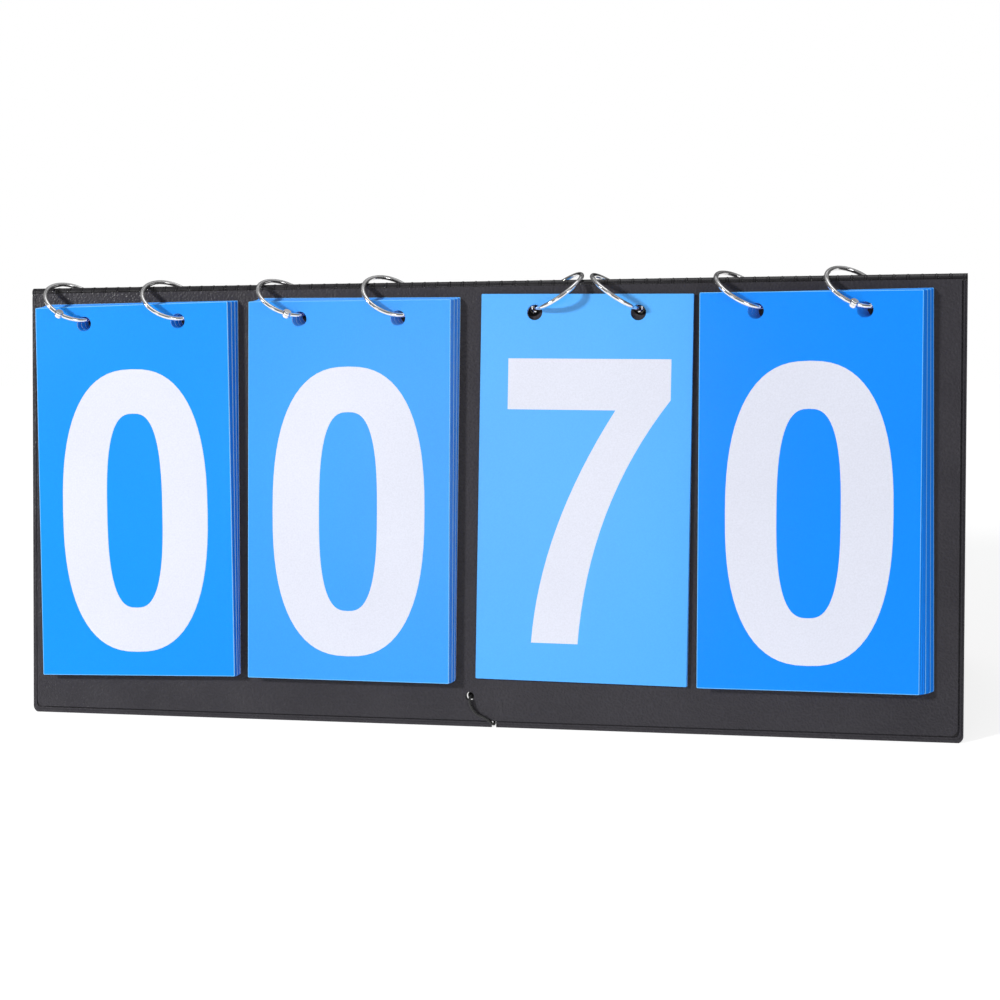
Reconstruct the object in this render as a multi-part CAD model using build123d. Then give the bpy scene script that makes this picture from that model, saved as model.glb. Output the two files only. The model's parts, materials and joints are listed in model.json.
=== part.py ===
from build123d import *
import os
from math import acos, atan2, cos, degrees, hypot, pi, radians, sin, sqrt, tan

# Tabletop flip scoreboard: two skinned boards folded into an A-frame, with number cards on split rings.
# Frame: millimetres, +Z up, front of the board faces -Y, origin on the floor under the middle of the fold.

os.makedirs("parts", exist_ok=True)

# ---- boards ----
LEAN = 15.0                 # each board from the vertical, degrees
BOARD_WIDTH = 398.0
BOARD_DROP = 183.8          # hinge axis to the foot of a board, along the board
CORE_THICK = 2.0            # stiff board inside the skins
SKIN = 0.3
FOLD_GAP = 0.3              # hinge axis plane to a board's inner face
CORNER_RADIUS = 3.0
FLANGE = 2.6                # welded rim outside the core, on three sides
WELD_WIDTH = 0.7
WELD_HEIGHT = 0.35
WELD_INSET = 1.0            # outer edge of the weld bead to the rim
TOP_LIP = 0.5               # top of the outer skin below the hinge axis
CORE_TOP = 2.9              # top of the core below the hinge axis

# ---- fold ----
SPINE_RADIUS = 2.0
SPINE_CLEARANCE = 0.25
RIB_PITCH = 5.5
RIB_WIDTH = 0.5
RIB_HEIGHT = 0.12

# ---- ring and cord holes in the boards ----
STACK_SHIFT = -1.3          # the four stacks sit a little left of the middle
BOARD_HOLE_SPREAD = 2.0     # a stack's board holes stand this much further apart than its card holes
FRONT_HOLE_DROP = 9.4       # hole centre below the hinge axis, front board
FRONT_HOLE_DIAMETER = 7.5
REAR_HOLE_DROP = 8.6        # a little higher and wider, so that the rings clear it as the boards fold
REAR_HOLE_DIAMETER = 8.0
CORD_HOLE_DIAMETER = 3.6
CORD_HOLE_X = -1.6
CORD_HOLE_RISE = 12.3       # above the foot of the board
CORD_NOTCH_X = 8.6
CORD_NOTCH_WIDTH = 1.9
CORD_NOTCH_DEPTH = 2.0

# ---- split rings ----
RING_RADIUS = 12.0          # to the middle of the wire
WIRE_DIAMETER = 1.9
EYE_RADIUS = 1.75           # flattened ends at the knuckle
LAP_GAP = 0.1
RIVET_DIAMETER = 1.2
RIVET_CLEARANCE = 0.08
RIVET_HEAD_RADIUS = 1.4
RIVET_HEAD_HEIGHT = 0.42
LOCK_GAP = 0.12
PIN_DIAMETER = 0.9
PIN_LENGTH = 0.8
PIN_CLEARANCE = 0.12

# ---- cards ----
CARD_WIDTH = 88.0
CARD_HEIGHT = 160.0
CARD_THICK = 0.35
CARD_CORNER = 0.4
CARD_HOLE_EDGE = 22.5       # hole centre to the card's side edge
STACK_GAP = 9.0             # between the stacks
CARD_HOLE_DIAMETER = 6.4
CARD_HOLE_INSET = 7.6       # hole centre below the card's top edge
CARD_AIR = 0.08             # between neighbouring cards at their feet
HANG_GAP = 0.6              # wire to the top of a card hole
STACK_CARDS = 10
SHARED_STACK = 2            # the stack that hangs partly behind, counted from 0
FLIPPED_CARDS = 7           # its cards that hang behind
FULL_TOP_PITCH = 0.48       # card to card at the holes of a full stack
SHORT_TOP_PITCH = 0.43      # the same for the shared stack

# ---- stay cord ----
CORD_DIAMETER = 1.1
CORD_STANDOFF = 0.3         # cord surface to a board's skins
CORD_SAG = 2.4
KNOT_RADIUS = 1.7
KNOT_GAP = 0.05             # stay cord to the rear knot

BOARD_THICK = CORE_THICK + 2 * SKIN
CARD_HOLE_PITCH = CARD_WIDTH - 2 * CARD_HOLE_EDGE
BOARD_HOLE_PITCH = CARD_HOLE_PITCH + BOARD_HOLE_SPREAD
STACK_PITCH = CARD_WIDTH + STACK_GAP
OUTER_FACE = FOLD_GAP + BOARD_THICK
MID_PLANE = FOLD_GAP + BOARD_THICK / 2
APEX_HEIGHT = BOARD_DROP * cos(radians(LEAN))
WIRE_RADIUS = WIRE_DIAMETER / 2
FRONT = Location((0, 0, APEX_HEIGHT), (90 - LEAN, 0, 0))
STACK_X = [STACK_SHIFT + STACK_PITCH * (n - 1.5) for n in range(4)]

# How each ring lies: fall and swing of its axis, then the turn around the ring from its own reference
# direction to the board hole, all in degrees, then where the wire passes the middle of the front board:
# sideways from the hole's centre, and below the hinge axis.
RING_LIES = [
    dict(fall=34.87, swing=-27.68, turn=-69.00, slip=-0.21, depth=10.83),
    dict(fall=34.59, swing=-33.31, turn=-65.61, slip=-0.31, depth=10.45),
    dict(fall=32.23, swing=-25.04, turn=-71.19, slip=-0.11, depth=10.01),
    dict(fall=34.93, swing=-36.82, turn=-67.59, slip=0.68, depth=10.34),
    dict(fall=31.75, swing=195.50, turn=-81.13, slip=0.45, depth=9.86),
    dict(fall=34.90, swing=3.95, turn=-106.61, slip=-0.73, depth=10.46),
    dict(fall=31.70, swing=-18.98, turn=-86.08, slip=-1.29, depth=10.08),
    dict(fall=32.98, swing=-38.59, turn=-69.20, slip=-1.75, depth=9.38),
]
# Knuckle and lock of each ring, in degrees around the ring from the board hole.
KNUCKLES = [-86.0, 6.0, -59.0, 6.0, -6.0, 6.0, 6.0, -66.6]
LOCKS = [94.0, 152.0, 119.0, 140.0, -160.0, 165.0, 155.0, 116.0]
# How far the cards have slid sideways along their rings: the one on the board, then the outermost.
FRONT_SLIDES = [(0.0, -0.6), (0.0, -0.4), (0.0, -0.2), (0.0, -0.8)]
REAR_SLIDE = (0.2, -0.15)


# ---------------------------------------------------------------- helpers

def save(node, shape):
    export_step(shape, "parts/" + node + ".step")


def slab(x0, x1, y0, y1, z0, z1):
    """Box between two corners, in a board's own frame: x across, y up the board, z outward."""
    return Pos((x0 + x1) / 2, (y0 + y1) / 2, (z0 + z1) / 2) * Box(x1 - x0, y1 - y0, z1 - z0)


def rounded_foot_slab(width, top, foot, z0, z1, radius):
    """Slab between two heights below the axis, with its two lower corners rounded."""
    body = slab(-width / 2, width / 2, -foot, -top, z0, z1)
    corners = body.edges().filter_by(Axis.Z).sort_by(Axis.Y)[:2]
    return fillet(corners, radius) if radius > 0 else body


def peg(x, y, diameter, z0, z1):
    return Pos(x, y, (z0 + z1) / 2) * Cylinder(diameter / 2, z1 - z0)


def to_rear(shape):
    """The rear board is the mirror image of the front one in the plane through the fold."""
    return mirror(shape, about=Plane.XZ)


def board_hole_x(ring):
    side = -1 if ring % 2 == 0 else 1
    return STACK_X[ring // 2] + side * BOARD_HOLE_PITCH / 2


# ---------------------------------------------------------------- boards

def punches(rear):
    """Ring holes and cord hole through a board."""
    drop = REAR_HOLE_DROP if rear else FRONT_HOLE_DROP
    diameter = REAR_HOLE_DIAMETER if rear else FRONT_HOLE_DIAMETER
    cuts = [peg(board_hole_x(n), -drop, diameter, -1, OUTER_FACE + 1) for n in range(len(RING_LIES))]
    cord_y = -(BOARD_DROP - CORD_HOLE_RISE)
    cuts.append(peg(CORD_HOLE_X, cord_y, CORD_HOLE_DIAMETER, -1, OUTER_FACE + 1))
    return cuts


def fold_clearance():
    """Everything that the round spine needs free around the hinge axis."""
    return Rot(0, 90, 0) * Cylinder(SPINE_RADIUS + RIB_HEIGHT + SPINE_CLEARANCE, BOARD_WIDTH + 10)


def cord_notch():
    x0 = CORD_NOTCH_X - CORD_NOTCH_WIDTH / 2
    low = -BOARD_DROP - OUTER_FACE * sin(radians(LEAN)) - 1
    return slab(x0, x0 + CORD_NOTCH_WIDTH, low, -BOARD_DROP + CORD_NOTCH_DEPTH, -1, OUTER_FACE + 1)


def below_floor():
    """Half space under the feet, seen from the board's own frame."""
    depth = 20.0
    return FRONT.inverse() * (Pos(0, 0, -depth / 2) * Box(2 * BOARD_WIDTH, 4 * BOARD_DROP, depth))


def skin(outward, rear):
    """Outer skin with the welded rim, or the plain inner skin when outward is False."""
    core_width = BOARD_WIDTH - 2 * FLANGE
    core_foot = BOARD_DROP - FLANGE
    face = OUTER_FACE if outward else FOLD_GAP
    rim = MID_PLANE + SKIN if outward else MID_PLANE - SKIN
    bead = rim + WELD_HEIGHT if outward else rim - WELD_HEIGHT
    pocket_end = face - SKIN if outward else face + SKIN
    low, high = sorted((MID_PLANE, face))
    shell = rounded_foot_slab(core_width + 2 * SKIN, TOP_LIP, core_foot + SKIN, low, high, CORNER_RADIUS)
    low, high = sorted((MID_PLANE, rim))
    foot = BOARD_DROP + OUTER_FACE * sin(radians(LEAN))
    shell += rounded_foot_slab(BOARD_WIDTH, TOP_LIP, foot, low, high, CORNER_RADIUS)
    low, high = sorted((MID_PLANE, bead))
    outer = BOARD_WIDTH - 2 * WELD_INSET
    weld = rounded_foot_slab(outer, TOP_LIP, BOARD_DROP - WELD_INSET, low, high, CORNER_RADIUS - WELD_INSET)
    inner = outer - 2 * WELD_WIDTH
    weld -= rounded_foot_slab(inner, TOP_LIP - 1, BOARD_DROP - WELD_INSET - WELD_WIDTH, low - 1, high + 1,
                              CORNER_RADIUS - WELD_INSET)
    shell += weld
    low, high = sorted((MID_PLANE, pocket_end))
    shell -= slab(-core_width / 2, core_width / 2, -core_foot, -CORE_TOP, low, high)
    for cut in punches(rear) + [fold_clearance(), cord_notch(), below_floor()]:
        shell -= cut
    return shell


def core(rear):
    core_width = BOARD_WIDTH - 2 * FLANGE
    board = slab(-core_width / 2, core_width / 2, -(BOARD_DROP - FLANGE), -CORE_TOP,
                 FOLD_GAP + SKIN, OUTER_FACE - SKIN)
    for cut in punches(rear):
        board -= cut
    return board


def spine():
    """Round welt in the fold, with a fine raised rib at every stitch."""
    half = BOARD_WIDTH / 2
    ribs = int((BOARD_WIDTH - RIB_PITCH) // RIB_PITCH)
    first = -(ribs - 1) * RIB_PITCH / 2
    points = [(-half, 0), (-half, SPINE_RADIUS)]
    for n in range(ribs):
        middle = first + n * RIB_PITCH
        low, high = middle - RIB_WIDTH / 2, middle + RIB_WIDTH / 2
        points += [(low, SPINE_RADIUS), (low, SPINE_RADIUS + RIB_HEIGHT)]
        points += [(high, SPINE_RADIUS + RIB_HEIGHT), (high, SPINE_RADIUS)]
    points += [(half, SPINE_RADIUS), (half, 0)]
    profile = make_face(Polyline(*points, close=True))
    return Pos(0, 0, APEX_HEIGHT) * revolve(profile, Axis.X)


# ---------------------------------------------------------------- rings

def ring_axes(lie):
    """Unit axis of a ring and two directions in its plane, in the world frame."""
    fall, swing = radians(lie["fall"]), radians(lie["swing"])
    axis = Vector(sin(fall) * cos(swing), sin(fall) * sin(swing), cos(fall))
    across = Vector(-axis.Y, axis.X, 0).normalized()
    return axis, across, axis.cross(across)


def board_point(x, drop, out, rear=False):
    """World position of a point given across, below the hinge axis and out from the board."""
    lean = radians(LEAN)
    y = -drop * sin(lean) - out * cos(lean)
    z = APEX_HEIGHT - drop * cos(lean) + out * sin(lean)
    return Vector(x, -y if rear else y, z)


def ring_point(ring, angle):
    """Point on the middle of a ring's wire, at an angle around it from the board hole."""
    lie = RING_LIES[ring]
    axis, across, along = ring_axes(lie)
    turn = radians(lie["turn"] + angle)
    return ring_centre(ring) + (across * cos(turn) + along * sin(turn)) * RING_RADIUS


def ring_centre(ring):
    lie = RING_LIES[ring]
    axis, across, along = ring_axes(lie)
    turn = radians(lie["turn"])
    hole = board_point(board_hole_x(ring) + lie["slip"], lie["depth"], MID_PLANE)
    return hole - (across * cos(turn) + along * sin(turn)) * RING_RADIUS


def wire_crossing(ring, out, rear=False):
    """Where a ring's wire passes a plane parallel to a board: across, and below the hinge axis."""
    lean = radians(LEAN)
    side = -1 if rear else 1
    outward = Vector(0, -side * cos(lean), sin(lean))
    axis, across, along = ring_axes(RING_LIES[ring])
    centre = ring_centre(ring)
    rise = out - (centre - Vector(0, 0, APEX_HEIGHT)).dot(outward)
    a, b = RING_RADIUS * across.dot(outward), RING_RADIUS * along.dot(outward)
    base, spread = atan2(b, a), acos(rise / hypot(a, b))
    down = Vector(0, -side * sin(lean), -cos(lean))
    found = []
    for angle in (base - spread, base + spread):
        point = centre + (across * cos(angle) + along * sin(angle)) * RING_RADIUS
        found.append((point.X, (point - Vector(0, 0, APEX_HEIGHT)).dot(down)))
    return max(found, key=lambda spot: spot[1])


def wire_arc(start, end):
    """Round wire around local Z from one angle to a larger one, in degrees."""
    return Rot(0, 0, start) * Torus(RING_RADIUS, WIRE_RADIUS, major_angle=end - start, align=None)


def half_ring(knuckle, lock, upper):
    """One half of a split ring, lying in local XY. The upper half carries the socket of the lock."""
    turn = 1 if lock > knuckle else -1
    gap_angle = degrees(LOCK_GAP / 2 / RING_RADIUS)
    start, end = sorted((knuckle, lock - turn * gap_angle))
    half = wire_arc(start, end)
    eye_bottom, eye_top = (LAP_GAP / 2, WIRE_RADIUS) if upper else (-WIRE_RADIUS, -LAP_GAP / 2)
    at_knuckle = Rot(0, 0, knuckle) * Pos(RING_RADIUS, 0, 0)
    relief_bottom, relief_top = (-WIRE_RADIUS - 1, eye_bottom) if upper else (eye_top, WIRE_RADIUS + 1)
    relief_height = relief_top - relief_bottom
    relief = Pos(0, 0, (relief_top + relief_bottom) / 2) * Cylinder(EYE_RADIUS + 2 * LAP_GAP, relief_height)
    half -= at_knuckle * relief
    half += at_knuckle * Pos(0, 0, (eye_bottom + eye_top) / 2) * Cylinder(EYE_RADIUS, eye_top - eye_bottom)
    half -= at_knuckle * Cylinder(RIVET_DIAMETER / 2 + RIVET_CLEARANCE, 4 * WIRE_RADIUS)
    at_lock = Rot(0, 0, lock) * Pos(RING_RADIUS, 0, 0) * Rot(90, 0, 0)
    if upper:
        half -= at_lock * Cylinder(PIN_DIAMETER / 2 + PIN_CLEARANCE, 2 * (PIN_LENGTH + PIN_CLEARANCE))
    else:
        reach = PIN_LENGTH + LOCK_GAP
        middle = turn * (reach - LOCK_GAP) / 2
        half += at_lock * Pos(0, 0, -middle) * Cylinder(PIN_DIAMETER / 2, reach)
    return half


def ring_frame(ring):
    axis, across, along = ring_axes(RING_LIES[ring])
    turn = radians(RING_LIES[ring]["turn"])
    to_hole = across * cos(turn) + along * sin(turn)
    return Plane(origin=ring_centre(ring), x_dir=to_hole, z_dir=axis).location


def rivet(ring):
    place = ring_frame(ring) * Rot(0, 0, KNUCKLES[ring]) * Pos(RING_RADIUS, 0, 0)
    length = 2 * (WIRE_RADIUS + LAP_GAP / 2)
    shape = Cylinder(RIVET_DIAMETER / 2, length)
    for side in (-1, 1):
        head_middle = side * (length / 2 + RIVET_HEAD_HEIGHT / 2)
        head = Pos(0, 0, head_middle) * Cylinder(RIVET_HEAD_RADIUS, RIVET_HEAD_HEIGHT)
        shape += head
    return place * shape


# ---------------------------------------------------------------- cards

def card_blank():
    """One card, its origin midway between its two holes, on its back face."""
    half = CARD_WIDTH / 2
    blank = slab(-half, half, CARD_HOLE_INSET - CARD_HEIGHT, CARD_HOLE_INSET, 0, CARD_THICK)
    blank = fillet(blank.edges().filter_by(Axis.Z), CARD_CORNER)
    for side in (-1, 1):
        blank -= peg(side * CARD_HOLE_PITCH / 2, 0, CARD_HOLE_DIAMETER, -1, CARD_THICK + 1)
    return blank


def hanging(stack, rear=False):
    """Number of cards, their pitch at the holes and how far the first and the last have slid."""
    if rear:
        return FLIPPED_CARDS, SHORT_TOP_PITCH, REAR_SLIDE
    if stack == SHARED_STACK:
        return STACK_CARDS - FLIPPED_CARDS, SHORT_TOP_PITCH, FRONT_SLIDES[stack]
    return STACK_CARDS, FULL_TOP_PITCH, FRONT_SLIDES[stack]


def card_place(stack, layer, rear=False):
    """Location in the board's frame of a card that hangs on its two rings. Layer 0 lies on the board."""
    count, top_pitch, (first, last) = hanging(stack, rear)
    back_at_holes = OUTER_FACE + CARD_AIR + layer * top_pitch
    back_at_foot = OUTER_FACE + CARD_AIR + layer * (CARD_THICK + CARD_AIR)
    out = back_at_holes + CARD_THICK / 2
    left = wire_crossing(2 * stack, out, rear)
    right = wire_crossing(2 * stack + 1, out, rear)
    middle = (left[0] + right[0]) / 2 + first + (last - first) * layer / (count - 1)
    low_left = left[1] + hang(middle - CARD_HOLE_PITCH / 2 - left[0])
    low_right = right[1] + hang(middle + CARD_HOLE_PITCH / 2 - right[0])
    tilt = degrees(atan2(back_at_foot - back_at_holes, CARD_HEIGHT - CARD_HOLE_INSET))
    turn = degrees(atan2(low_left - low_right, CARD_HOLE_PITCH))
    return Location((middle, -(low_left + low_right) / 2, back_at_holes), (0, 0, 0)) * Rot(-tilt, 0, turn)


def hang(aside):
    """How far a hole's centre is below the wire that it hangs on, when it is this far to one side."""
    slack = CARD_HOLE_DIAMETER / 2 - WIRE_RADIUS - HANG_GAP
    return sqrt(max(slack ** 2 - aside ** 2, 0))


def card_nodes():
    """Every card of the four stacks by stack and digit: its location and whether it hangs behind."""
    nodes = {}
    for stack in range(len(FRONT_SLIDES)):
        for digit in range(STACK_CARDS):
            rear = stack == SHARED_STACK and digit < FLIPPED_CARDS
            layer = digit if rear else STACK_CARDS - 1 - digit
            nodes[(stack, digit)] = (card_place(stack, layer, rear), rear)
    return nodes


def put_card(blank, place, rear):
    shape = FRONT * place * blank
    return to_rear(shape) if rear else shape


# ---------------------------------------------------------------- stay cord

def rounded_path(points):
    """Straight runs joined by tangent arcs, each arc as large as its two runs allow."""
    radii = []
    for before, corner, after in zip(points, points[1:], points[2:]):
        run_in, run_out = Vector(*corner) - Vector(*before), Vector(*after) - Vector(*corner)
        turn = radians(run_in.get_angle(run_out))
        radii.append(0.45 * min(run_in.length, run_out.length) / tan(turn / 2))
    print("cord radii", [round(value, 1) for value in radii])
    return FilletPolyline(*points, radius=radii)


def cord_tube(points):
    path = rounded_path(points)
    start = Plane(origin=path @ 0, z_dir=path % 0)
    tube = sweep(start * Circle(CORD_DIAMETER / 2), path=path)
    straight = path.length * pi * CORD_DIAMETER ** 2 / 4
    print("cord length", round(path.length, 1), "volume ratio", round(tube.volume / straight, 4))
    return tube


def knot_centre():
    """Middle of the knot behind a board's cord hole, in the board's own frame."""
    return Vector(CORD_HOLE_X, CORD_HOLE_RISE - BOARD_DROP, FOLD_GAP - CORD_STANDOFF - KNOT_RADIUS)


def loop_points():
    """From the knot out through the hole, down the face, under the foot, and back up inside."""
    knot = knot_centre()
    x, y, foot = knot.X, knot.Y, -BOARD_DROP
    face = OUTER_FACE + CORD_STANDOFF + CORD_DIAMETER / 2
    inside = FOLD_GAP - CORD_STANDOFF - CORD_DIAMETER / 2
    under = foot + CORD_NOTCH_DEPTH - CORD_DIAMETER - 0.1
    return [
        (x, y, knot.Z),
        (x, y, face + 0.3),
        (x + 0.5, y - 3.8, face + 0.2),
        (x + 3.0, y - 7.4, face + 0.1),
        (CORD_NOTCH_X - 3.2, foot + 3.6, face),
        (CORD_NOTCH_X, under, face),
        (CORD_NOTCH_X, under, inside),
        (CORD_NOTCH_X - 1.0, foot + 4.4, inside - 0.3),
        (x + 4.6, y - 4.6, inside - 0.7),
        (x + 0.5, y - 0.5, knot.Z),
    ]


def stay_points():
    """The span between the two knots, hanging a little in the middle, in the world frame."""
    knot = FRONT * Pos(knot_centre())
    centre = knot.position
    reach, height = -centre.Y, centre.Z
    return [
        (centre.X, -reach, height),
        (centre.X, -reach / 2, height - 0.8 * CORD_SAG),
        (centre.X, 0, height - CORD_SAG),
        (centre.X, reach / 2, height - 0.8 * CORD_SAG),
        (centre.X, reach, height),
    ]


# ---------------------------------------------------------------- build

def build_boards():
    for side in ("front", "rear"):
        rear = side == "rear"
        shapes = {"cover": skin(True, rear), "lining": skin(False, rear), "stiffener": core(rear)}
        for name, shape in shapes.items():
            placed = FRONT * shape
            save(side + "_" + name, to_rear(placed) if rear else placed)
    save("spine_welt", spine())


def build_rings():
    rivets = []
    for ring in range(len(RING_LIES)):
        place = ring_frame(ring)
        knuckle, lock = KNUCKLES[ring], LOCKS[ring]
        other_way = lock - 360 if lock > knuckle else lock + 360
        save("ring_%d_fixed_half" % (ring + 1), place * half_ring(knuckle, lock, True))
        save("ring_%d_gate_half" % (ring + 1), place * half_ring(knuckle, other_way, False))
        rivets.append(rivet(ring))
    save("ring_rivets", Compound(rivets))


def build_cards():
    blank = card_blank()
    groups = {}
    for (stack, digit), (place, rear) in card_nodes().items():
        single = digit < 6 or stack == SHARED_STACK
        name = "number_%d" % digit if single else "numbers_6_to_9"
        name = "card_%d_%s" % (stack + 1, name)
        groups.setdefault(name, []).append(put_card(blank, place, rear))
    for name, cards in groups.items():
        save(name, Compound(cards) if len(cards) > 1 else cards[0])


def build_cord():
    knot = FRONT * Pos(knot_centre()) * Sphere(KNOT_RADIUS)
    loop = FRONT * cord_tube(loop_points()) - knot
    keep_out = to_rear(FRONT * Pos(knot_centre()) * Sphere(KNOT_RADIUS + KNOT_GAP))
    save("front_cord_knot", knot)
    save("rear_cord_knot", to_rear(knot))
    save("front_cord_loop", loop)
    save("rear_cord_loop", to_rear(loop))
    save("stay_cord", cord_tube(stay_points()) - knot - keep_out)


build_boards()
build_rings()
build_cards()
build_cord()
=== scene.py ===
import json
from math import cos, hypot, pi, radians, sin

import bpy
from mathutils import Matrix, Vector


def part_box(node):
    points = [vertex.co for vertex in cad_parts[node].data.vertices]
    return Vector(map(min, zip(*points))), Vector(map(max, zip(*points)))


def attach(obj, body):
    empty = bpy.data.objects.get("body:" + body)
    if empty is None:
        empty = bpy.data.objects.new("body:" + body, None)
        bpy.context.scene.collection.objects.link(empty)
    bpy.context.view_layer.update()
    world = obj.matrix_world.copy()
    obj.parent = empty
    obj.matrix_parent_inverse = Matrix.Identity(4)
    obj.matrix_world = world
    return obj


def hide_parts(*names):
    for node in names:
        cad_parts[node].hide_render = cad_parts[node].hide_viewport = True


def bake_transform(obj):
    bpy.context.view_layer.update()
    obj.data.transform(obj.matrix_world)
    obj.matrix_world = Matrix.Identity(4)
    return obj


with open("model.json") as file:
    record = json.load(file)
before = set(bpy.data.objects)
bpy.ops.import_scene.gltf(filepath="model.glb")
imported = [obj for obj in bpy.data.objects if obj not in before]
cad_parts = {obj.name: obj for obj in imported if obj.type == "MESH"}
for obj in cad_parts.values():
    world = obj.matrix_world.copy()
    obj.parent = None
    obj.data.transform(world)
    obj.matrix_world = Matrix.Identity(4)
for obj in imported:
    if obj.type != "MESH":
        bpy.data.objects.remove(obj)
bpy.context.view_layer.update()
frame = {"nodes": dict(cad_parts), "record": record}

NODES = frame["nodes"]
MM = 0.001

# Camera: fitted to the photograph's board outline, millimetres and degrees.
CAMERA_SPOT = (162.25, -729.31, 300.38)
CAMERA_AZIMUTH, CAMERA_ELEVATION, CAMERA_ROLL = 12.128, 16.142, -2.935
CAMERA_LENS = 64.8

# Sizes of the part, millimetres.
LEAN = 15.0
BOARD_DROP = 183.8
APEX = BOARD_DROP * cos(radians(LEAN))
RIB_PITCH = 5.5
CARD_WIDTH, CARD_HEIGHT, CARD_CORNER = 88.0, 160.0, 0.4
CARD_RIM = 0.25
HOLE_PITCH, HOLE_INSET, HOLE_DIAMETER = 43.0, 7.6, 6.4


# ---------------------------------------------------------------- camera, stage, light

def make_camera():
    a, e, r = (radians(v) for v in (CAMERA_AZIMUTH, CAMERA_ELEVATION, CAMERA_ROLL))
    back = Vector((sin(a) * cos(e), -cos(a) * cos(e), sin(e)))
    right = Vector((cos(a), sin(a), 0))
    up = back.cross(right)
    right, up = cos(r) * right + sin(r) * up, -sin(r) * right + cos(r) * up
    data = bpy.data.cameras.new("camera")
    data.sensor_width = 36.0
    data.lens = CAMERA_LENS
    data.clip_start, data.clip_end = 0.02, 50
    camera = bpy.data.objects.new("camera", data)
    facing = Matrix((right, up, back)).transposed().to_4x4()
    camera.matrix_world = Matrix.Translation(Vector(CAMERA_SPOT) * MM) @ facing
    bpy.context.scene.collection.objects.link(camera)
    bpy.context.scene.camera = camera
    bpy.context.scene.view_settings.view_transform = "Standard"


def area_light(name, spot, target, width, height, watts):
    data = bpy.data.lights.new(name, "AREA")
    data.shape = "RECTANGLE"
    data.size, data.size_y = width, height
    data.energy = watts
    lamp = bpy.data.objects.new(name, data)
    lamp.location = spot
    lamp.rotation_euler = (Vector(target) - Vector(spot)).to_track_quat("-Z", "Y").to_euler()
    bpy.context.scene.collection.objects.link(lamp)


WORLD_STRENGTH = 0.21


def make_world():
    """White behind the part, and a studio of bright and dim bands for what the metal reflects."""
    world = bpy.data.worlds.new("studio")
    world.use_nodes = True
    bpy.context.scene.world = world
    tree = world.node_tree
    tree.nodes.clear()
    out = tree.nodes.new("ShaderNodeOutputWorld")
    seen = tree.nodes.new("ShaderNodeBackground")
    seen.inputs["Color"].default_value = (1, 1, 1, 1)
    seen.inputs["Strength"].default_value = 1.0
    lit = tree.nodes.new("ShaderNodeBackground")
    lit.inputs["Strength"].default_value = WORLD_STRENGTH
    place = tree.nodes.new("ShaderNodeTexCoord")
    split = tree.nodes.new("ShaderNodeSeparateXYZ")
    ramp = tree.nodes.new("ShaderNodeValToRGB")
    stops = ((0.0, 0.95), (0.30, 0.9), (0.44, 0.35), (0.5, 0.06), (0.56, 0.10), (0.63, 0.8), (0.7, 1.1),
             (0.78, 0.2), (0.86, 3.0), (0.92, 0.8), (1.0, 3.0))
    ramp.color_ramp.elements[0].position, ramp.color_ramp.elements[1].position = stops[0][0], stops[-1][0]
    for spot, level in stops[1:-1]:
        ramp.color_ramp.elements.new(spot)
    for element, (spot, level) in zip(ramp.color_ramp.elements, stops):
        element.color = (level, level, level * 1.01, 1)
    scale = tree.nodes.new("ShaderNodeMapRange")
    scale.inputs["From Min"].default_value = -1.0
    path = tree.nodes.new("ShaderNodeLightPath")
    mix = tree.nodes.new("ShaderNodeMixShader")
    link = tree.links.new
    link(place.outputs["Generated"], split.inputs[0])
    link(split.outputs["Z"], scale.inputs["Value"])
    link(scale.outputs["Result"], ramp.inputs["Fac"])
    link(ramp.outputs["Color"], lit.inputs["Color"])
    link(path.outputs["Is Camera Ray"], mix.inputs[0])
    link(lit.outputs[0], mix.inputs[1])
    link(seen.outputs[0], mix.inputs[2])
    link(mix.outputs[0], out.inputs["Surface"])


# ---------------------------------------------------------------- materials

class Shader:
    """A Principled material, with short calls for the nodes that feed it."""

    def __init__(self, name, **values):
        self.material = bpy.data.materials.new(name)
        self.material.use_nodes = True
        self.tree = self.material.node_tree
        self.base = self.tree.nodes["Principled BSDF"]
        for key, value in values.items():
            self.base.inputs[key.replace("_", " ")].default_value = value

    def node(self, kind, inputs=None, **settings):
        made = self.tree.nodes.new("ShaderNode" + kind)
        for key, value in settings.items():
            setattr(made, key, value)
        for key, value in (inputs or {}).items():
            if hasattr(value, "is_linked"):
                self.tree.links.new(value, made.inputs[key])
            else:
                made.inputs[key].default_value = value
        return made

    def place(self, scale=(1, 1, 1), turn=(0, 0, 0)):
        where = self.node("TexCoord").outputs["Object"]
        return self.node("Mapping", {"Vector": where, "Scale": scale, "Rotation": turn}).outputs[0]

    def noise(self, scale, detail=2.0, rough=0.5, where=None):
        vector = where if where is not None else self.place()
        return self.node("TexNoise", {"Vector": vector, "Scale": scale, "Detail": detail,
                                      "Roughness": rough}).outputs["Fac"]

    def ramp(self, value, stops):
        made = self.node("ValToRGB", {"Fac": value})
        elements = made.color_ramp.elements
        elements[0].position, elements[1].position = stops[0][0], stops[-1][0]
        for spot, colour in stops[1:-1]:
            elements.new(spot)
        for element, (spot, colour) in zip(elements, stops):
            element.color = (*colour, 1) if len(colour) == 3 else colour
        return made.outputs["Color"]

    def math(self, what, a, b=0.0):
        return self.node("Math", {0: a, 1: b}, operation=what).outputs[0]

    def bump(self, height, distance, strength=1.0, below=None):
        inputs = {"Height": height, "Distance": distance, "Strength": strength}
        if below is not None:
            inputs["Normal"] = below
        return self.node("Bump", inputs).outputs[0]

    def feed(self, socket, value):
        self.tree.links.new(value, self.base.inputs[socket])
        return self


def grey(level):
    return (level, level, level)


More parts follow.
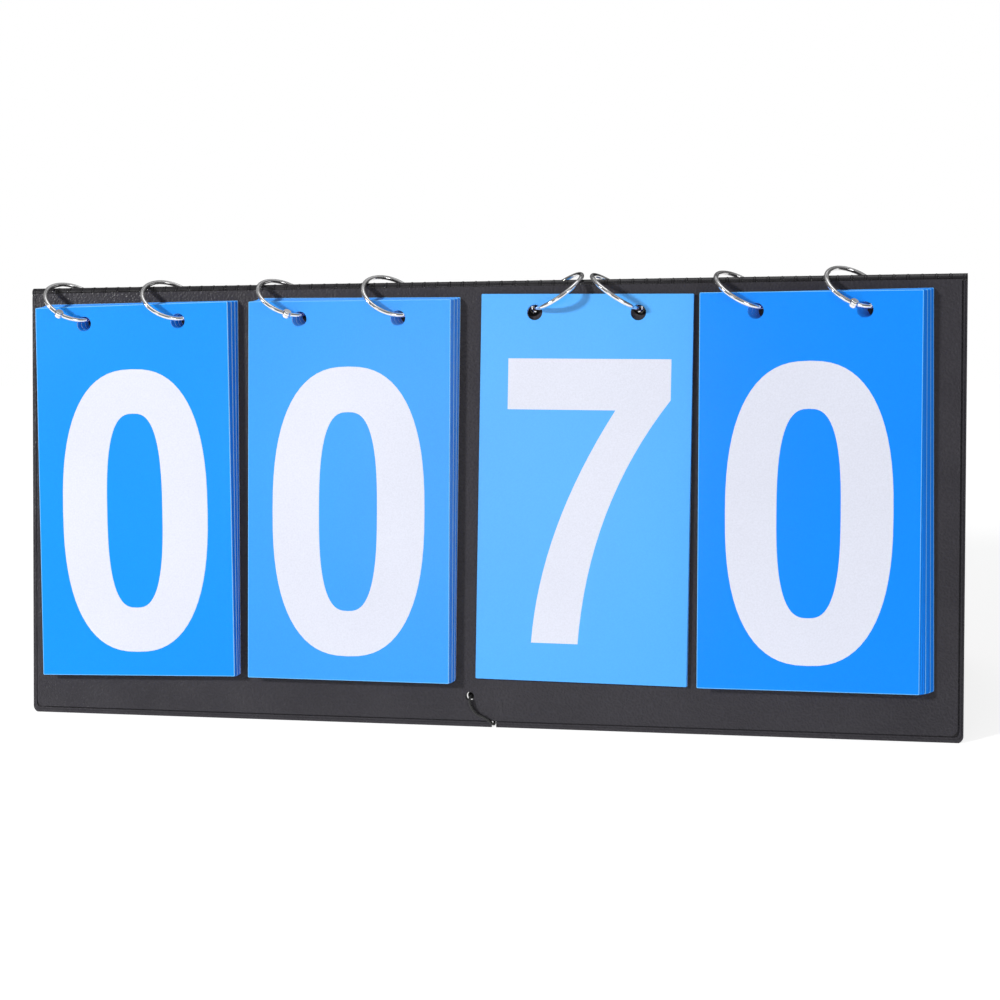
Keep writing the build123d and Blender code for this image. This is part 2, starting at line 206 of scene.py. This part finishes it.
def leatherette(name, base, creases):
    """Grained vinyl: fine pebbles, sparse fine wrinkles and a little unevenness of sheen."""
    shader = Shader(name, Roughness=0.42, Specular_IOR_Level=0.22)
    warp = shader.node("TexNoise", {"Vector": shader.place(), "Scale": 120.0, "Detail": 3.0}).outputs["Color"]
    shift = shader.node("VectorMath", {0: warp, "Scale": 0.003}, operation="SCALE").outputs[0]
    moved = shader.node("VectorMath", {0: shader.place(), 1: shift}, operation="ADD").outputs[0]
    cells = shader.node("TexVoronoi", {"Vector": moved, "Scale": 1150.0},
                        feature="SMOOTH_F1").outputs["Distance"]
    fine = shader.noise(3200.0, 2.0)
    slanted = shader.place((1.0, 1.0, 0.45), (0.0, 0.6, 0.0))
    ridges = shader.node("TexNoise", {"Vector": slanted, "Scale": 170.0, "Detail": 5.0, "Roughness": 0.6,
                                      "Distortion": 0.6}, noise_type="RIDGED_MULTIFRACTAL").outputs["Fac"]
    wrinkle = shader.ramp(ridges, [(0.55, grey(0.0)), (0.95, grey(1.0))])
    where_wrinkled = shader.ramp(shader.noise(19.0, 3.0, 0.6), [(0.5, grey(0.05)), (0.68, grey(1.0))])
    furrow = shader.math("MULTIPLY", wrinkle, where_wrinkled)
    waves = shader.noise(20.0, 2.0)
    normal = shader.bump(waves, 0.0005, 0.4)
    normal = shader.bump(cells, 0.0002, 0.9, normal)
    normal = shader.bump(fine, 0.00003, 0.6, normal)
    normal = shader.bump(furrow, 0.0006 * creases, 0.9, normal)
    shade = shader.math("ADD", shader.math("MULTIPLY", cells, 0.35), shader.math("MULTIPLY", waves, 0.4))
    low, high = tuple(v * 0.8 for v in base), tuple(v * 1.25 for v in base)
    shader.feed("Base Color", shader.ramp(shade, [(0.15, low), (0.6, high)]))
    shader.feed("Roughness", shader.ramp(shader.noise(60.0, 3.0), [(0.3, grey(0.28)), (0.7, grey(0.44))]))
    return shader.feed("Normal", normal).material


def ribbed_welt(name, base):
    """Smooth glossy vinyl over the fold, with a bumped groove beside every rib and painted shade darkening
    the base colour in each groove.
    """
    shader = Shader(name, Roughness=0.24, Specular_IOR_Level=0.6)
    across = shader.node("SeparateXYZ", {0: shader.node("TexCoord").outputs["Object"]}).outputs["X"]
    phase = shader.math("PINGPONG", across, RIB_PITCH * MM / 2)
    groove_depth_and_shade = shader.ramp(shader.math("DIVIDE", phase, RIB_PITCH * MM / 2),
                         [(0.0, grey(1.0)), (0.12, grey(1.0)), (0.16, grey(0.0)), (0.20, grey(0.0)),
                          (0.24, grey(0.85))])
    mottle = shader.ramp(shader.noise(160.0, 2.0), [(0.2, grey(0.7)), (0.8, grey(1.0))])
    tone = shader.math("MULTIPLY", groove_depth_and_shade, mottle)
    # Painted shade: the base colour drops to a quarter of the vinyl's in each rib groove, standing in for the
    # shadow there; the same mask also drives the bump.
    shader.feed("Base Color", shader.ramp(tone, [(0.0, tuple(v * 0.25 for v in base)), (1.0, base)]))
    shader.feed("Roughness", shader.ramp(shader.noise(300.0, 2.0), [(0.3, grey(0.2)), (0.7, grey(0.32))]))
    return shader.feed("Normal", shader.bump(groove_depth_and_shade, 0.0004, 0.8)).material


def printed(name, base, gloss, coat=0.15, sheen=0.5):
    """Laminated print: ink a touch uneven, with the lamination's orange-peel skin."""
    shader = Shader(name, Roughness=gloss, Specular_IOR_Level=sheen, Coat_Weight=coat, Coat_Roughness=0.22)
    low, high = tuple(v * 0.93 for v in base), tuple(min(v * 1.07, 1.0) for v in base)
    tone = shader.math("ADD", shader.math("MULTIPLY", shader.noise(1500.0, 3.0), 0.6),
                       shader.math("MULTIPLY", shader.noise(12.0, 2.0), 0.4))
    shader.feed("Base Color", shader.ramp(tone, [(0.3, low), (0.7, high)]))
    normal = shader.bump(shader.noise(650.0, 2.0), 0.00003, 0.5)
    return shader.feed("Normal", shader.bump(shader.noise(18.0, 1.0), 0.0008, 0.25, normal)).material


def plated(name):
    """Bright nickel plate with drawing marks and slight clouding."""
    shader = Shader(name, Metallic=1.0, Roughness=0.1)
    tone = shader.noise(700.0, 3.0)
    shader.feed("Base Color", shader.ramp(tone, [(0.3, (0.8, 0.79, 0.78)), (0.7, (0.96, 0.96, 0.97))]))
    shader.feed("Roughness", shader.ramp(shader.noise(500.0, 3.0), [(0.35, grey(0.06)), (0.75, grey(0.16))]))
    return shader.feed("Normal", shader.bump(shader.noise(900.0, 2.0), 0.00005, 0.5)).material


def pressed_board(name):
    shader = Shader(name, Roughness=0.9)
    speck = shader.noise(900.0, 4.0, 0.7)
    shader.feed("Base Color", shader.ramp(speck, [(0.3, (0.012, 0.011, 0.011)), (0.7, (0.03, 0.029, 0.028))]))
    return shader.feed("Normal", shader.bump(speck, 0.0002, 0.5)).material


def braided(name):
    shader = Shader(name, Roughness=0.75, Sheen_Weight=0.05)
    weave = shader.node("TexWave", {"Vector": shader.place(turn=(0.6, 0.6, 0.6)), "Scale": 900.0,
                                    "Distortion": 2.0}).outputs["Fac"]
    shader.feed("Base Color", shader.ramp(weave, [(0.2, grey(0.006)), (0.8, grey(0.03))]))
    return shader.feed("Normal", shader.bump(weave, 0.00015, 0.8)).material


def pale_floor(name):
    """A light table: mostly its own glow, so the floor stays white around the part."""
    shader = Shader(name, Roughness=0.9, Specular_IOR_Level=0.1, Emission_Color=(1, 1, 1, 1),
                    Emission_Strength=0.8)
    tone = shader.noise(3.0, 2.0)
    return shader.feed("Base Color", shader.ramp(tone, [(0.2, grey(0.3)), (0.8, grey(0.34))])).material


LEATHER = leatherette("leatherette", (0.036, 0.034, 0.040), 1.0)
LINING = leatherette("lining", (0.036, 0.035, 0.040), 0.4)
WELT = ribbed_welt("welt", (0.014, 0.013, 0.016))
METAL = plated("plated_wire")
BOARD = pressed_board("pressed_board")
CORD = braided("cord_braid")
# One blue per stack, left to right: the printed ink blue, with painted reflection of the softbox making
# stacks 2 and 3 lighter and whiter.
BLUES_AND_REFLECTION = ((0.001, 0.28, 0.95), (0.035, 0.325, 0.95), (0.08, 0.405, 0.95), (0.001, 0.25, 0.95))
INKS_AND_REFLECTION = [printed("blue_print_and_reflection_%d" % (n + 1), ink, 0.26) for n, ink in enumerate(BLUES_AND_REFLECTION)]
PAPER = printed("white_print", (0.69, 0.71, 0.81), 0.35, 0.1)
CUT_EDGE = printed("cut_edge", (0.82, 0.9, 0.97), 0.6, 0.0, 0.1)
# Painted shade: a dark blue for card edges, standing in for the shade between stacked cards.
EDGE_SHADE = printed("painted_shade_edge", (0.001, 0.07, 0.8), 0.5, 0.0, 0.1)
RIM = printed("card_rim", (0.14, 0.5, 0.95), 0.4)
# One card in this many shows its bare cut edge and a pale rim; the edges of the others are painted dark blue
# as shade between the stacked cards.
BARE_EDGE_EVERY = 3


# ---------------------------------------------------------------- mesh helpers

def new_mesh(name, verts, faces, materials, index=None, smooth=False):
    mesh = bpy.data.meshes.new(name)
    mesh.from_pydata([tuple(v) for v in verts], [], faces)
    for material in materials:
        mesh.materials.append(material)
    for k, polygon in enumerate(mesh.polygons):
        polygon.use_smooth = smooth
        if index:
            polygon.material_index = index[k]
    mesh.update()
    made = bpy.data.objects.new(name, mesh)
    bpy.context.scene.collection.objects.link(made)
    return made


def loose_parts(node):
    """The vertices of each separate solid in a CAD node, in metres."""
    mesh = NODES[node].data
    owner = list(range(len(mesh.vertices)))

    def top(k):
        while owner[k] != k:
            owner[k] = owner[owner[k]]
            k = owner[k]
        return k

    spots = {}
    for vertex in mesh.vertices:
        key = tuple(round(c * 1e6) for c in vertex.co)
        owner[vertex.index] = spots.setdefault(key, vertex.index)
    for edge in mesh.edges:
        a, b = (top(v) for v in edge.vertices)
        owner[a] = b
    groups = {}
    for vertex in mesh.vertices:
        groups.setdefault(top(vertex.index), []).append(vertex.co.copy())
    return list(groups.values())


def hull(points):
    """Corners of the outline around flat points, in order."""
    points = sorted(set(points))

    def half(run):
        out = []
        for p in run:
            while len(out) > 1 and ((out[-1][0] - out[-2][0]) * (p[1] - out[-2][1])
                                    - (out[-1][1] - out[-2][1]) * (p[0] - out[-2][0])) <= 0:
                out.pop()
            out.append(p)
        return out[:-1]

    return half(points) + half(reversed(points))


# Tilts of a card tried on either side of the board's lean: how many, and degrees each.
TILT_STEPS, TILT_STEP = 40, 0.02


def card_frame(points, outward):
    """Matrix and thickness of a card solid: x across, y up, z out of its face, origin between its holes."""
    lean = radians(LEAN) * (1 if outward < 0 else -1)
    up = Vector((0, sin(lean), cos(lean)))
    across = Vector((1, 0, 0)) if outward < 0 else Vector((-1, 0, 0))
    for _ in range(3):
        flat = [(p.dot(across), p.dot(up)) for p in points]
        ring = hull(flat)
        sides = [(ring[k][0] - ring[k - 1][0], ring[k][1] - ring[k - 1][1]) for k in range(len(ring))]
        dx, dy = max(sides, key=lambda side: hypot(*side))
        side = (across * dx + up * dy).normalized()
        up = side if side.z > 0 else -side
        normal = across.cross(up).normalized()
        across = up.cross(normal).normalized()
    # The true normal is the one along which the card is thinnest.
    best = None
    for step in range(-TILT_STEPS, TILT_STEPS + 1):
        turn = Matrix.Rotation(radians(step * TILT_STEP), 3, across)
        trial = turn @ normal
        levels = [p.dot(trial) for p in points]
        if best is None or max(levels) - min(levels) < best[0]:
            best = (max(levels) - min(levels), trial, turn @ up)
    thick, normal, up = best
    xs, ys = [p.dot(across) for p in points], [p.dot(up) for p in points]
    face = max(p.dot(normal) for p in points)
    centre = across * (max(xs) + min(xs)) / 2 + up * (max(ys) - HOLE_INSET * MM) + normal * face
    place = Matrix((across, up, normal)).transposed().to_4x4()
    return Matrix.Translation(centre) @ place, thick


# ---------------------------------------------------------------- digits

def arc_loop(half_width, half_height, power, centre, count=72):
    """Closed rounded outline: 2 is an ellipse, more is squarer."""
    loop = []
    for k in range(count):
        t = 2 * pi * k / count
        c, s = cos(t), sin(t)
        x = abs(c) ** (2 / power) * (1 if c > 0 else -1)
        y = abs(s) ** (2 / power) * (1 if s > 0 else -1)
        loop.append((centre[0] + half_width * x, centre[1] + half_height * y))
    return loop


def curve_between(a, b, control, count=16):
    """Points along a quadratic bend from a to b, without the end."""
    return [((1 - t) ** 2 * a[0] + 2 * t * (1 - t) * control[0] + t * t * b[0],
             (1 - t) ** 2 * a[1] + 2 * t * (1 - t) * control[1] + t * t * b[1])
            for t in (k / count for k in range(count))]


def digit_loops(digit, top, width, height):
    """Closed outlines of a digit, centred and hanging down from its top; its holes come after its body."""
    half = width / 2
    middle = (0, top - height / 2)
    if digit == 0:
        inner = arc_loop(half - 20.5, height / 2 - 19.1, 2.75, middle)
        return [arc_loop(half, height / 2, 2.48, middle), inner]
    if digit == 7:
        bar, end = top - 21.05, top - 16.7
        foot_left, foot_right, inner = half - 56.1, half - 36.6, half - 22.6
        left = curve_between((foot_left, top - height), (inner, bar), (half - 53.2, top - 70.4))
        right = curve_between((half, end), (foot_right, top - height), (half - 33.1, top - 60.2))
        return [[(-half, top), (half, top)] + right + [(foot_right, top - height)]
                + left + [(inner, bar), (-half, bar)]]
    if digit == 1:
        stem = 21.0
        x1, x0 = half * 0.42, half * 0.42 - stem
        flag = curve_between((x0, top - 34), (x0 - 25, top - 47), (x0 - 8, top - 44))
        back = curve_between((x0 - 25, top - 27), (x1 - 17, top), (x0 - 2, top - 20))
        foot = [(x1, top), (x1, top - height), (x0, top - height)]
        return [foot + flag + [(x0 - 25, top - 47)] + back + [(x1 - 17, top)]]
    if digit == 8:
        upper, lower = (0, top - height * 0.27), (0, top - height * 0.71)
        body = []
        for k in range(96):
            t = pi / 2 - 2 * pi * k / 96
            y = middle[1] + height / 2 * sin(t)
            lobe, reach = (upper, 0.27) if y > top - height * 0.48 else (lower, 0.29)
            wide = half * (0.93 if lobe is upper else 1.0)
            rise = (y - lobe[1]) / (height * reach)
            x = wide * max(1 - abs(rise) ** 2.2, 0.0) ** (1 / 2.2)
            waist = half * 0.72
            if abs(y - (top - height * 0.48)) < height * 0.14:
                x = max(x, waist)
            body.append((x if cos(t) > 0 else -x, y))
        return [body, arc_loop(half - 21, height * 0.27 - 16, 2.1, upper),
                arc_loop(half - 20, height * 0.29 - 16, 2.1, lower)]
    return []


# ---------------------------------------------------------------- cards

def flat_fill(loops):
    """(vertices, triangles) of the area inside flat closed outlines, by even-odd filling."""
    data = bpy.data.curves.new("fill", "CURVE")
    data.dimensions = "2D"
    data.fill_mode = "FRONT"
    for loop in loops:
        spline = data.splines.new("POLY")
        spline.points.add(len(loop) - 1)
        for point, (x, y) in zip(spline.points, loop):
            point.co = (x, y, 0, 1)
        spline.use_cyclic_u = True
    holder = bpy.data.objects.new("fill", data)
    mesh = bpy.data.meshes.new_from_object(holder)
    verts = [v.co.copy() for v in mesh.vertices]
    faces = [tuple(p.vertices) for p in mesh.polygons]
    up = sum(p.normal.z for p in mesh.polygons)
    bpy.data.objects.remove(holder)
    bpy.data.curves.remove(data)
    bpy.data.meshes.remove(mesh)
    return verts, faces if up > 0 else [tuple(reversed(f)) for f in faces]


def card_outline(inset=0.0):
    half, top, foot = CARD_WIDTH / 2 - inset, HOLE_INSET - inset, HOLE_INSET - CARD_HEIGHT + inset
    loop = []
    for x, y, start in ((half, top, 0), (-half, top, 90), (-half, foot, 180), (half, foot, 270)):
        cx, cy = x - CARD_CORNER * (1 if x > 0 else -1), y - CARD_CORNER * (1 if y > 0 else -1)
        for k in range(7):
            t = radians(start + 15 * k)
            loop.append((cx + CARD_CORNER * cos(t), cy + CARD_CORNER * sin(t)))
    return loop


HOLE_SIDES = 40


def hole_outline(side):
    middle, radius = side * HOLE_PITCH / 2, HOLE_DIAMETER / 2
    turns = [2 * pi * k / HOLE_SIDES for k in range(HOLE_SIDES)]
    return [(middle + radius * cos(t), radius * sin(t)) for t in turns]


# Digit on a card: how far its top lies under the line of the holes, its shift across, width and height.
DIGIT_FITS = {0: (-20.1, 0.1, 66.4, 122.0), 7: (-19.0, 1.6, 67.6, 117.6),
              1: (-20.5, 0.0, 64.0, 121.0), 8: (-20.3, 0.0, 65.0, 121.6)}


def card_mesh(name, places, layer, ink, front, back):
    """Cards as printed sheets: ink field (its blue partly painted reflection on stacks 2 and 3), the bare
    digit inside it, and the paper's cut edge, painted dark blue as shade on two cards in three.
    """
    verts, faces, index = [], [], []

    def add(points, cells, z, slot, place, flip=False):
        base = len(verts)
        verts.extend(place @ Vector((x * MM, y * MM, z)) for x, y in points)
        faces.extend(tuple(base + k for k in (reversed(cell) if flip else cell)) for cell in cells)
        index.extend([slot] * len(cells))

    rims = [card_outline(), hole_outline(-1), hole_outline(1)]
    for depth, (place, thick) in enumerate(places):
        # Slot 2 is the bare white cut edge; slot 3 is painted shade, a dark blue on the edges of the other
        # cards.
        edge = 2 if (layer + depth) % BARE_EDGE_EVERY == 0 else 3
        for digit, z, flip in ((front, 0.0, False), (back, -thick, True)):
            marks = []
            if digit in DIGIT_FITS:
                top, shift, width, height = DIGIT_FITS[digit]
                sign = -1 if flip else 1
                loops = digit_loops(digit, top, width, height)
                marks = [[(sign * (x + shift), y) for x, y in loop] for loop in loops]
            border = [rims[0], card_outline(CARD_RIM)] if edge == 2 else []
            field = [card_outline(CARD_RIM)] + rims[1:] if border else rims
            for loops, slot in ((field + marks, 0), (marks, 1), (border, 4)):
                if loops:
                    points, cells = flat_fill(loops)
                    add([(p.x, p.y) for p in points], cells, z, slot, place, flip)
        for number, rim in enumerate(rims):
            count = len(rim)
            base = len(verts)
            verts.extend(place @ Vector((x * MM, y * MM, z)) for z in (0.0, -thick) for x, y in rim)
            for k in range(count):
                n = (k + 1) % count
                cell = (base + k, base + n, base + count + n, base + count + k)
                faces.append(tuple(reversed(cell)) if number == 0 else cell)
                index.append(edge)
    made = new_mesh(name, verts, faces, [ink, PAPER, CUT_EDGE, EDGE_SHADE, RIM], index)
    return made


CARD_FACES = {"card_1_number_0": (0, 1), "card_2_number_0": (0, 1), "card_4_number_0": (0, 1),
              "card_1_number_1": (1, None), "card_2_number_1": (1, None), "card_4_number_1": (1, None),
              "card_3_number_7": (7, 8), "card_3_number_8": (8, None), "card_3_number_6": (7, None)}


def body_name(node):
    return next(name for name, nodes in frame["record"]["behaviour"]["bodies"].items() if node in nodes)


def make_cards():
    for node in [n for n in NODES if n.startswith("card_")]:
        middle = (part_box(node)[0][1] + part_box(node)[1][1]) / 2
        outward = -1 if middle < 0 else 1
        places = [card_frame(points, outward) for points in loose_parts(node)]
        places.sort(key=lambda place: outward * place[0].translation.y, reverse=True)
        front, back = CARD_FACES.get(node, (None, None))
        layer = int(node.split("_")[3])
        piece = card_mesh("printed_" + node, places, layer, INKS_AND_REFLECTION[int(node[5]) - 1], front, back)
        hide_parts(node)
        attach(piece, body_name(node))


# ---------------------------------------------------------------- stay cord

CORD_DIAMETER = 1.1
KNOT = (-1.6, -171.5, -1.7)
LOOP_ROUTE = [(-1.6, -171.5, -1.7), (-1.6, -171.5, 4.05), (-1.1, -175.3, 3.95), (1.4, -178.9, 3.85),
              (5.4, -180.2, 3.75), (8.6, -183.0, 3.75), (8.6, -183.0, -0.55), (7.6, -179.4, -0.85),
              (3.0, -176.1, -1.25), (-1.1, -172.0, -1.7)]


# How far the stay cord hangs, in millimetres, at shares of the way from the middle to either knot.
STAY_SAG = ((-1, 0), (-0.5, 1.92), (0, 2.4), (0.5, 1.92), (1, 0))


def from_board(point, rear=False):
    """World place, in metres, of a point in a board's own frame: across, up the board, outward."""
    x, y, z = point
    tip = radians(90 - LEAN)
    deep = y * cos(tip) - z * sin(tip)
    return Vector((x, -deep if rear else deep, APEX + y * sin(tip) + z * cos(tip))) * MM


def make_cord(name, route):
    data = bpy.data.curves.new(name, "CURVE")
    data.dimensions = "3D"
    data.bevel_depth = CORD_DIAMETER / 2 * MM
    data.bevel_resolution = 5
    data.resolution_u = 10
    data.use_fill_caps = True
    spline = data.splines.new("NURBS")
    spline.points.add(len(route) - 1)
    for point, spot in zip(spline.points, route):
        point.co = (*spot, 1)
    spline.order_u = 3
    spline.use_endpoint_u = True
    data.materials.append(CORD)
    made = bpy.data.objects.new(name, data)
    bpy.context.scene.collection.objects.link(made)
    return made


def make_cords():
    for side, rear in (("front", False), ("rear", True)):
        route = [from_board(p, rear) for p in LOOP_ROUTE]
        loop = make_cord(side + "_loop_cord", route)
        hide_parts(side + "_cord_loop")
        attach(loop, side + "_board")
    a, b = from_board(KNOT), from_board(KNOT, True)
    route = [Vector((a.x, y * b.y, a.z - drop * MM)) for y, drop in STAY_SAG]
    line = make_cord("stay_cord_line", route)
    tube = bpy.data.meshes.new_from_object(line)
    line.data.bevel_depth = 0
    path = [v.co.copy() for v in bpy.data.meshes.new_from_object(line).vertices]
    bpy.data.objects.remove(line)
    for polygon in tube.polygons:
        polygon.use_smooth = True
    stay = bpy.data.objects.new("stay_cord_span", tube)
    bpy.context.scene.collection.objects.link(stay)
    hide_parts("stay_cord")
    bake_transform(stay)


# ---------------------------------------------------------------- finish

def dress_nodes():
    for name, node in NODES.items():
        if name.endswith(("_cover", "_lining")):
            material = LEATHER if name.endswith("_cover") else LINING
        elif name.endswith("_stiffener"):
            material = BOARD
        elif name == "spine_welt":
            material = WELT
        elif name.startswith("ring_"):
            material = METAL
        elif "cord" in name:
            material = CORD
        else:
            continue
        node.data.materials.clear()
        node.data.materials.append(material)


def make_floor():
    """A pale floor under the part; the white studio shows behind it."""
    verts = [(x, y, 0.0) for y in (-2.5, 0.6) for x in (-3.0, 3.0)]
    floor = new_mesh("floor", verts, [(0, 1, 3, 2)], [pale_floor("pale_floor")])


make_camera()
make_world()
make_cords()
make_cards()
dress_nodes()
make_floor()
area_light("key", (-2.36, -1.55, 1.38), (0, 0, 0.1), 0.27, 0.27, 91)
area_light("softbox", (-0.32, -1.5, 0.52), (-0.05, 0, 0.1), 0.44, 0.42, 1.0)
area_light("fill", (1.3, -1.2, 0.5), (0, 0, 0.1), 0.5, 0.5, 3)
area_light("top", (0.1, 0.3, 2.1), (0, 0, 0), 1.2, 1.2, 4)
